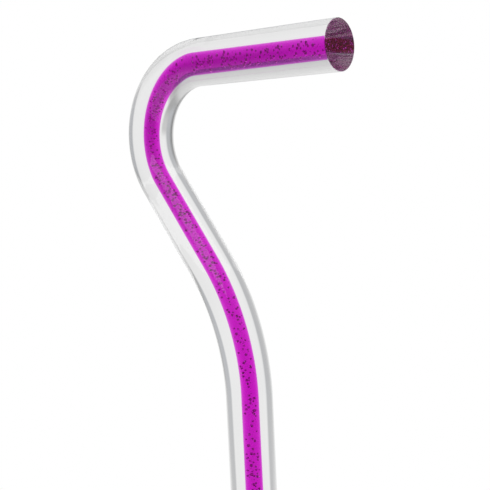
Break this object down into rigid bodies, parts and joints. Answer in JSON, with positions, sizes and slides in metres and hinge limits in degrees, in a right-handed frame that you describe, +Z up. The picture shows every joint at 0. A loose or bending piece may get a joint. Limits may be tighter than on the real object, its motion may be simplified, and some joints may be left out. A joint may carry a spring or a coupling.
{
  "type": "walking cane",
  "caption": "Walking cane with an offset handle: a clear acrylic rod bent to shape around a coloured core bar full of bubbles, standing in a pull-off rubber ferrule.",
  "frame": {"origin": "centre of the ferrule's tread, on the ground", "axes": "+Z up the straight shaft, +X the way the handle's cut end faces; both bends lie in the XZ plane"},
  "size_m": [0.1427, 0.046, 0.9144],
  "materials": {
    "clear_acrylic": "clear cast acrylic, flame polished all along, with a flat polished cut at the handle's end",
    "purple_acrylic": "transparent magenta-purple dyed acrylic with trapped air bubbles",
    "black_rubber": "moulded matt black rubber",
    "washer_steel": "zinc-plated steel, lightly scuffed"
  },
  "bodies": {
    "ferrule": {"rubber_ferrule": "black_rubber", "ferrule_washer": "washer_steel"},
    "cane": {"clear_rod": "clear_acrylic", "purple_core": "purple_acrylic"}
  },
  "joints": [
    {"name": "shaft_lift", "type": "slide", "parent": "ferrule", "child": "cane", "axis": [0, 0, 1], "range_m": [0, 0.06]}
  ]
}
